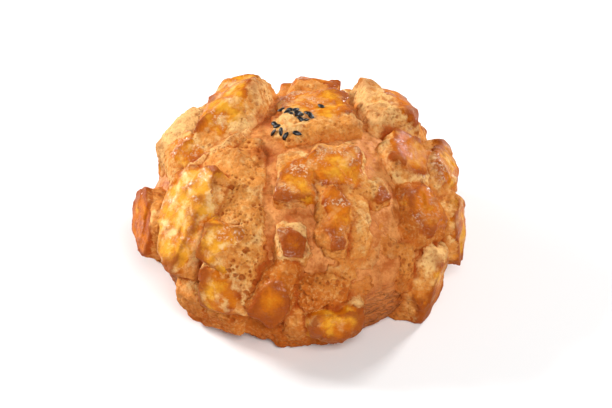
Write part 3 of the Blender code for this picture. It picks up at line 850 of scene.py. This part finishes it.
class Nodes:
    """Short ways to add and link the nodes of one material."""

    def __init__(self, name):
        self.material = bpy.data.materials.new(name)
        self.material.use_nodes = True
        self.tree = self.material.node_tree
        self.surface = self.tree.nodes["Principled BSDF"]
        self.place = self.tree.nodes.new("ShaderNodeTexCoord").outputs["Object"]

    def add(self, kind, inputs, **settings):
        node = self.tree.nodes.new(kind)
        for key, value in settings.items():
            setattr(node, key, value)
        for key, value in inputs.items():
            self.feed(node.inputs[key], value)
        return node

    def feed(self, socket, value):
        if isinstance(value, bpy.types.NodeSocket):
            self.tree.links.new(value, socket)
        else:
            socket.default_value = value

    def attribute(self, name):
        return self.add("ShaderNodeAttribute", {}, attribute_name=name).outputs["Fac"]

    def math(self, operation, *values):
        return self.add("ShaderNodeMath", dict(enumerate(values)), operation=operation).outputs[0]

    def plus(self, first, second):
        return self.math("ADD", first, second)

    def minus(self, first, second):
        return self.math("SUBTRACT", first, second)

    def times(self, first, second):
        return self.math("MULTIPLY", first, second)

    def stretched(self, stretch):
        """The place with its axes multiplied."""
        inputs = {0: self.place, 1: stretch}
        return self.add("ShaderNodeVectorMath", inputs, operation="MULTIPLY").outputs[0]

    def noise(self, size, detail=3.0, roughness=0.5, place=None):
        """Smooth noise from 0 to 1, with features of about this size."""
        inputs = {"Scale": 1 / size, "Detail": detail, "Roughness": roughness}
        return self.add("ShaderNodeTexNoise", {"Vector": place or self.place, **inputs}).outputs["Fac"]

    def creases(self, noise):
        """How far noise is from its middle: 0 along winding lines."""
        return self.math("ABSOLUTE", self.minus(noise, 0.5))

    def cells(self, size):
        return self.add("ShaderNodeTexVoronoi", {"Scale": 1 / size, "Vector": self.place}).outputs[0]

    def distance(self, spot):
        """How far each place is from one spot."""
        inputs = {0: self.place, 1: spot}
        return self.add("ShaderNodeVectorMath", inputs, operation="DISTANCE").outputs["Value"]

    def upward(self):
        """Height over the floor."""
        return self.add("ShaderNodeSeparateXYZ", {"Vector": self.place}).outputs["Z"]

    def ramp(self, value, low, high):
        """0 at low, 1 at high, which can be the lower one, and smooth between."""
        inputs = {"Value": value, "From Min": low, "From Max": high}
        return self.add("ShaderNodeMapRange", inputs, interpolation_type="SMOOTHSTEP").outputs[0]

    def fade(self, value, fade):
        return self.times(self.ramp(value, fade.low, fade.high), fade.share)

    def noise_of(self, kind):
        return self.noise(kind.size, kind.detail, kind.roughness)

    def patches(self, patches):
        return self.plus(patches.least, self.fade(self.noise_of(patches), patches))

    def wander(self, wander):
        return self.times(self.minus(self.noise_of(wander), 0.5), wander.reach)

    def mix(self, share, first, second):
        inputs = {0: share, 6: first, 7: second}
        return self.add("ShaderNodeMix", inputs, data_type="RGBA").outputs[2]

    def three_tones(self, value, steps, colours):
        """The first colour up to the first step, the second at the next, the third from the last."""
        tone = self.mix(self.ramp(value, steps[0], steps[1]), colours[0], colours[1])
        return self.mix(self.ramp(value, steps[1], steps[2]), tone, colours[2])

    def bump(self, height, distance, below=None):
        inputs = {"Height": height, "Distance": distance, "Strength": 1.0}
        if below:
            inputs["Normal"] = below
        return self.add("ShaderNodeBump", inputs).outputs["Normal"]

    def rough(self, wander, below=None):
        """Bump made of noise, as high as the wander's reach."""
        return self.bump(self.noise_of(wander), wander.reach, below)

    def set(self, **values):
        for key, value in values.items():
            self.feed(self.surface.inputs[key.replace("_", " ")], value)


# A Wander moves about 0, over distances of this size and within a range as wide as its reach. A Fade
# grows from 0 at low to its share at high. Patches are a Fade of noise, on top of their least value.
Wander = namedtuple("Wander", "size reach detail roughness", defaults=(3.0, 0.5))
Fade = namedtuple("Fade", "low high share", defaults=(1,))
Patches = namedtuple("Patches", "size low high share detail roughness least", defaults=(1, 3.0, 0.5, 0))

# The bread has brown patches and flecks, painted shade along little creases in some places, and a browner
# foot.
BREAD_TAN = (0.76, 0.31, 0.085, 1)
BREAD_BROWN = (0.45, 0.105, 0.011, 1)
BREAD_CREASE_SHADE = (0.22, 0.045, 0.008, 1)
BREAD_PATCHES = Patches(0.006, 0.41, 0.68, detail=4, roughness=0.6)
BREAD_FLECKS = Patches(0.0016, 0.45, 0.70, 0.7, detail=4, roughness=0.65)
CREASE_SIZE = 0.009
CREASE_WIDTH = Fade(0.012, 0.0)
SHADED_CREASES = Patches(0.012, 0.48, 0.62, 0.5, detail=2)
BREAD_FOOT = Fade(0.036, 0.010, 0.75)

# The browned hollows show in the bread, and in the crust where it is low. Their brown is also the painted
# shade in dips.
HOLLOW_BROWN_AND_DIP_SHADE = (0.38, 0.062, 0.006, 1)
BROWNED_BORDER = Wander(0.004, 0.007)
BROWNED = Fade(BROWNED_REACH, BROWNED_REACH * 0.4, 0.75)
BROWNED_CRUST = Fade(0.8, 0.3)

# The egg wash ends raggedly, sharply in some places and faintly in others.
WASH_RAGS = Wander(0.0022, 0.9, detail=4, roughness=0.6)
FAINT_BORDERS = Patches(0.008, 0.40, 0.62, 0.7, detail=2, least=0.20)

# Crumb is pale, golden or baked. It is painted paler where it bulges and browner where it dips, as painted
# light and shade, and browner where it is low between the plates, as painted shade.
CRUMB_PALE = (0.86, 0.52, 0.195, 1)
CRUMB_GOLD = (0.69, 0.27, 0.055, 1)
CRUMB_BAKED_AND_SHADE = (0.49, 0.118, 0.012, 1)
CRUMB_STEPS = (0.0, 0.5, 1.3)
BAKED_PATCHES = Wander(0.009, 1.5)
BAKED_FLECKS = Wander(0.0028, 1.6, detail=4, roughness=0.6)
BULGE_LIGHT_AND_SHADE = 0.25
GRAIN = Patches(0.0009, 0.48, 0.72, 0.55, roughness=0.6)
FLOUR = Patches(0.0011, 0.52, 0.30, 0.35, roughness=0.6)
LOW_CRUMB_SHADE = Fade(0.25, -0.1, 0.55)
THIN_BORDER = Wander(0.003, 0.2)
THIN_CRUMB = Fade(0.02, -0.18)

# Its pores and, in some places, smaller pits are painted browner, as painted shade in them.
PORE_SHADE_BROWN = (0.39, 0.090, 0.012, 1)
PORE_SHADE = Fade(0.05, 0.7, 0.8)
PIT_SIZE = 0.0013
PIT_WIDTH = Fade(0.34, 0.16)
PITTED = Patches(0.005, 0.50, 0.62, detail=2)
PIT_SHADE_SHARE = 0.5
PIT_DEPTH = 0.0003

# Egg wash is yellow to brown, browner along parts of its border, and painted pale in patches as painted
# highlight.
WASH_YELLOW = (0.78, 0.34, 0.022, 1)
WASH_ORANGE = (0.58, 0.145, 0.003, 1)
WASH_BROWN = (0.36, 0.062, 0.002, 1)
PALE_GLAZE_AND_SHEEN = (0.92, 0.60, 0.24, 1)
WASH_STEPS = (0.15, 0.75, 1.35)
WASH_RIM = Fade(0.7, 0.0)
BROWNED_RIMS = Patches(0.011, 0.40, 0.60, 0.8, detail=2)
WASH_TONES = Wander(0.006, 2.6, detail=4, roughness=0.6)
PALE_SHEEN_PATCHES = Patches(0.0048, 0.47, 0.70, detail=4, roughness=0.65)
PALE_SHEEN_TONES = Fade(0.95, 0.25)

# Where the seeds lie, pale patches are painted: partly pale glaze, partly painted sheen.
SEED_GLAZE_BORDER = Wander(0.004, 0.006)
SEED_GLAZE_AND_SHEEN = Fade(SEEDED_REACH, SEEDED_REACH * 0.7, 0.7)
SEED_SHEEN_PATCHES = Patches(0.0022, 0.38, 0.58)

# The wash's coat glints in tiny specks, and high up, in some places, the specks are also painted near-white
# as painted glints.
SPECKS = Patches(0.0008, 0.50, 0.60, 0.95, roughness=0.6, least=0.05)
PAINTED_GLINT_WHITE = (0.96, 0.78, 0.50, 1)
PAINTED_GLINT_PATCHES = Patches(0.006, 0.51, 0.63)
PAINTED_GLINT_HEIGHTS = Fade(0.028, 0.042)
PAINTED_GLINT_SHARE = 0.5

# Dips are a redder brown, which is painted shade, and crests darker brown: more so low down and under the
# wash.
EDGE_BROWN = (0.32, 0.062, 0.006, 1)
DIP_SHADE_BORDER = Wander(0.004, 0.5)
DIP_SHADE = Fade(0.0, -0.8, 0.9)
CREST_FLECKS = Wander(0.0035, 2.2, detail=4, roughness=0.6)
CREST_PATCHES = Wander(0.013, 3.0, detail=2)
LOW_CRESTS = Fade(0.024, 0.008, 0.5)
CRESTS = Fade(0.3, 1.7)
BARE_BROWNING = 0.5
WASH_BROWNING = 0.4

# The washed skin is smooth, with a glossy coat, more in some places and high up.
BARE_ROUGHNESS = 0.75
WASH_POLISH = 0.25
GLOSSY_WASH = Patches(0.006, 0.42, 0.56, 0.85, detail=2, least=0.15)
GLOSSY_HEIGHTS = Fade(0.004, 0.036)
CRUMB_GRAIN = Wander(0.0007, 0.00045, roughness=0.6)
CRUMB_LUMPS = Wander(0.0020, 0.0003, detail=2)
WASH_SKIN = Wander(0.0016, 0.00042)

# The bread's skin has grain and lumps, and level wrinkles near the foot.
SKIN_GRAIN = Wander(0.0007, 0.00035, roughness=0.6)
SKIN_LUMPS = Wander(0.0024, 0.0008)
SKIN_WRINKLE_SIZE = 0.008
SKIN_WRINKLE_STRETCH = (1.0, 1.0, 5.0)
SKIN_WRINKLES = Fade(0.0, 0.08)
SKIN_WRINKLE_HEIGHTS = Fade(0.022, 0.014)
SKIN_WRINKLE_DEPTH = 0.0007

SEED_BLACK = (0.006, 0.005, 0.005, 1)
SEED_BROWN = (0.05, 0.028, 0.015, 1)
SEED_PATCHES = Patches(0.0012, 0.5, 0.8)
SEED_GRAIN = Wander(0.0003, 0.00004, detail=2)

Fields = namedtuple("Fields", "wash way tone bake height pore bulge crest")


def near_spot(n, spot, border, fade):
    """A share that grows towards one spot, from a border that wanders."""
    return n.fade(n.plus(n.distance(spot), n.wander(border)), fade)


def with_browned_hollows(n, colour, hollows, share=1.0):
    """The colour, but redder brown in each of the hollows, by this share."""
    for spot in hollows:
        near = near_spot(n, spot, BROWNED_BORDER, BROWNED)
        colour = n.mix(n.times(near, share), colour, HOLLOW_BROWN_AND_DIP_SHADE)
    return colour


def bread_colour(n, hollows):
    """Tan, browner in patches, in some hollows and near the foot, with painted shade along little creases."""
    colour = n.mix(n.patches(BREAD_PATCHES), BREAD_TAN, BREAD_BROWN)
    colour = n.mix(n.patches(BREAD_FLECKS), colour, BREAD_BROWN)
    # painted shade: dark lines along little creases in the skin
    crease_shade = n.fade(n.creases(n.noise(CREASE_SIZE, 2)), CREASE_WIDTH)
    colour = n.mix(n.times(crease_shade, n.patches(SHADED_CREASES)), colour, BREAD_CREASE_SHADE)
    colour = with_browned_hollows(n, colour, hollows)
    return n.mix(n.fade(n.upward(), BREAD_FOOT), colour, BREAD_BROWN)


def washed_here(n, fields):
    """1 where the egg wash lies and 0 beyond it."""
    into_wash = n.plus(fields.wash, n.wander(WASH_RAGS))
    covered = n.ramp(n.math("DIVIDE", into_wash, n.patches(FAINT_BORDERS)), -0.5, 0.5)
    return n.times(covered, n.ramp(fields.way, *WASH_END))


def crumb_colour(n, fields, pits, hollows):
    """Crumb with grain and flour, painted light and shade on its bulges, dips and low gaps, painted shade in
    its pores and pits, and bread where it is thin.
    """
    baked = n.plus(n.plus(n.wander(BAKED_PATCHES), fields.bake), n.wander(BAKED_FLECKS))
    # painted light and shade: paler where the crumb bulges, browner where it dips
    baked = n.minus(baked, n.times(fields.bulge, BULGE_LIGHT_AND_SHADE))
    colour = n.three_tones(baked, CRUMB_STEPS, (CRUMB_PALE, CRUMB_GOLD, CRUMB_BAKED_AND_SHADE))
    colour = n.mix(n.patches(GRAIN), colour, CRUMB_BAKED_AND_SHADE)
    colour = n.mix(n.patches(FLOUR), colour, CRUMB_PALE)
    # painted shade: browner where the crust is low between the plates
    colour = n.mix(n.fade(fields.height, LOW_CRUMB_SHADE), colour, CRUMB_BAKED_AND_SHADE)
    thin = n.fade(n.plus(fields.height, n.wander(THIN_BORDER)), THIN_CRUMB)
    colour = n.mix(thin, colour, bread_colour(n, hollows))
    # painted shade: browner in the pores and in the pits
    colour = n.mix(n.fade(fields.pore, PORE_SHADE), colour, PORE_SHADE_BROWN)
    return n.mix(n.times(pits, PIT_SHADE_SHARE), colour, PORE_SHADE_BROWN)


def wash_colour(n, fields):
    """Egg wash that has baked unevenly, most at its border, with pale painted highlight in patches."""
    rim = n.times(n.fade(fields.wash, WASH_RIM), n.patches(BROWNED_RIMS))
    baked = n.plus(n.plus(fields.tone, rim), n.wander(WASH_TONES))
    colour = n.three_tones(baked, WASH_STEPS, (WASH_YELLOW, WASH_ORANGE, WASH_BROWN))
    # painted highlight: pale patches on the yellower wash
    pale_sheen = n.times(n.patches(PALE_SHEEN_PATCHES), n.fade(fields.tone, PALE_SHEEN_TONES))
    return n.mix(pale_sheen, colour, PALE_GLAZE_AND_SHEEN)


def painted_glints_here(n, washed, specks):
    """How much painted glint lies on the wash, in specks high up."""
    high = n.times(n.patches(PAINTED_GLINT_PATCHES), n.fade(n.upward(), PAINTED_GLINT_HEIGHTS))
    return n.times(n.times(high, washed), n.times(specks, PAINTED_GLINT_SHARE))


def browned_here(n, fields, washed):
    """How brown the crests are."""
    crest = n.plus(n.plus(fields.crest, n.wander(CREST_FLECKS)), n.wander(CREST_PATCHES))
    crest = n.plus(crest, n.fade(n.upward(), LOW_CRESTS))
    return n.times(n.fade(crest, CRESTS), n.plus(BARE_BROWNING, n.times(washed, WASH_BROWNING)))


def coated_here(n, washed, seed_glaze_and_sheen, specks):
    """How much glossy coat there is, on the wash and round the seeds."""
    glossy = n.times(washed, n.patches(GLOSSY_WASH))
    glossy = n.times(glossy, n.fade(n.upward(), GLOSSY_HEIGHTS))
    return n.math("MAXIMUM", n.times(glossy, specks), n.times(seed_glaze_and_sheen, specks))


def crumb_bump(n, pits, washed):
    """Fine grain and lumps, with pits where the crumb is bare."""
    fine = n.rough(CRUMB_LUMPS, below=n.rough(CRUMB_GRAIN))
    return n.bump(n.times(pits, n.minus(1.0, washed)), -PIT_DEPTH, below=fine)


def crust_material(seeded, hollows):
    """Pale porous crumb, with glossy egg wash and browned edges."""
    n = Nodes("cookie_crust")
    fields = Fields(*[n.attribute(name) for name in Fields._fields])
    washed = washed_here(n, fields)
    pits = n.times(n.fade(n.cells(PIT_SIZE), PIT_WIDTH), n.patches(PITTED))
    seed_glaze_and_sheen = near_spot(n, seeded, SEED_GLAZE_BORDER, SEED_GLAZE_AND_SHEEN)
    specks = n.patches(SPECKS)
    colour = n.mix(washed, crumb_colour(n, fields, pits, hollows), wash_colour(n, fields))
    # pale glaze and painted sheen in patches round the seeds
    colour = n.mix(n.times(seed_glaze_and_sheen, n.patches(SEED_SHEEN_PATCHES)), colour, PALE_GLAZE_AND_SHEEN)
    # painted glints: near-white specks high up on the wash
    colour = n.mix(painted_glints_here(n, washed, specks), colour, PAINTED_GLINT_WHITE)
    # painted shade: a redder brown where the surface dips
    dip_shade = n.fade(n.plus(fields.bulge, n.wander(DIP_SHADE_BORDER)), DIP_SHADE)
    colour = n.mix(dip_shade, colour, HOLLOW_BROWN_AND_DIP_SHADE)
    colour = with_browned_hollows(n, colour, hollows, n.fade(fields.height, BROWNED_CRUST))
    colour = n.mix(browned_here(n, fields, washed), colour, EDGE_BROWN)
    roughness = n.minus(BARE_ROUGHNESS, n.times(washed, WASH_POLISH))
    n.set(Base_Color=colour, Roughness=roughness, Specular_IOR_Level=0.06)
    n.set(Normal=crumb_bump(n, pits, washed))
    n.set(Subsurface_Weight=0.08, Subsurface_Scale=0.0015, Subsurface_Radius=(1.0, 0.45, 0.15))
    n.set(Coat_Weight=coated_here(n, washed, seed_glaze_and_sheen, specks), Coat_Normal=n.rough(WASH_SKIN))
    n.set(Coat_Roughness=0.08, Coat_IOR=1.45)
    return n.material


def bread_material(hollows):
    """Tan skin with a little gloss."""
    n = Nodes("bread_skin")
    fine = n.rough(SKIN_LUMPS, below=n.rough(SKIN_GRAIN))
    level = n.noise(SKIN_WRINKLE_SIZE, 2, place=n.stretched(SKIN_WRINKLE_STRETCH))
    wrinkles = n.fade(n.creases(level), SKIN_WRINKLES)
    wrinkles = n.times(wrinkles, n.fade(n.upward(), SKIN_WRINKLE_HEIGHTS))
    fine = n.bump(wrinkles, SKIN_WRINKLE_DEPTH, below=fine)
    n.set(Base_Color=bread_colour(n, hollows), Roughness=0.5, Normal=fine, Specular_IOR_Level=0.2)
    n.set(Subsurface_Weight=0.08, Subsurface_Scale=0.0015, Subsurface_Radius=(1.0, 0.45, 0.2))
    return n.material


def sesame_material():
    """Black, brown in places, with a satin gloss."""
    n = Nodes("black_sesame")
    n.set(Base_Color=n.mix(n.patches(SEED_PATCHES), SEED_BLACK, SEED_BROWN))
    n.set(Roughness=0.32, Normal=n.rough(SEED_GRAIN))
    return n.material


def add_piece(name, mesh, material, move):
    mesh.name = name
    mesh.transform(move)
    mesh.materials.clear()
    mesh.materials.append(material)
    piece = add_object(name, mesh)
    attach(piece, BODY_NAME)
    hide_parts(NODE_NAME)


def add_floor():
    shape = bmesh.new()
    bmesh.ops.create_grid(shape, x_segments=1, y_segments=1, size=FLOOR_SIZE)
    mesh = mesh_of(shape, "floor")
    paint = Nodes("floor_paint")
    paint.set(Base_Color=FLOOR_WHITE, Roughness=0.9)
    mesh.materials.append(paint.material)
    floor = add_object("floor", mesh)
    floor.location.z = FLOOR_HEIGHT


def add_lights():
    """The room's own dim light, and the square lights."""
    world = bpy.data.worlds.new("studio")
    world.use_nodes = True
    background = world.node_tree.nodes["Background"].inputs
    background["Color"].default_value = ROOM_WHITE
    background["Strength"].default_value = ROOM_LIGHT
    bpy.context.scene.world = world
    for name, place, size, power in LIGHTS:
        data = bpy.data.lights.new(name, "AREA")
        data.size = size
        data.energy = power
        light = add_object(name, data)
        light.location = place
        light.rotation_euler = (Vector(place) - LIGHTS_AIM).to_track_quat("Z", "Y").to_euler()


def add_camera(move):
    """The camera, moved with the loaf."""
    data = bpy.data.cameras.new("camera")
    data.lens = CAMERA_LENS
    camera = add_object("camera", data)
    tilt = math.radians(CAMERA_ELEVATION)
    back = Vector((0, -math.cos(tilt), math.sin(tilt)))
    camera.location = move @ (CAMERA_AIM + back * CAMERA_DISTANCE)
    camera.rotation_euler = back.to_track_quat("Z", "Y").to_euler()
    bpy.context.scene.camera = camera


def main():
    crust = crust_mesh()
    points = read_vertices(crust, "co")
    middle = (points.min(0) + points.max(0)) / 2
    cad_middle = (np.array(CAD_LOW) + np.array(CAD_HIGH)) / 2
    move = Matrix.Translation((cad_middle[0] - middle[0], cad_middle[1] - middle[1], -SLICE_HEIGHT))
    seeds = seeds_mesh(surface_of(crust, points))
    hollows = [move @ spot for spot in BROWNED_HOLLOWS]
    cookie = crust_material(move @ SEEDED_PATCH, hollows)
    for name, first, last in SECTORS:
        add_piece(name, wedge_of(crust, first, last), cookie, move)
    add_piece("bread", bread_mesh(), bread_material(hollows), move)
    add_piece("sesame_seeds", seeds, sesame_material(), move)
    add_floor()
    add_lights()
    add_camera(move)
    bpy.context.scene.view_settings.view_transform = "Standard"


main()
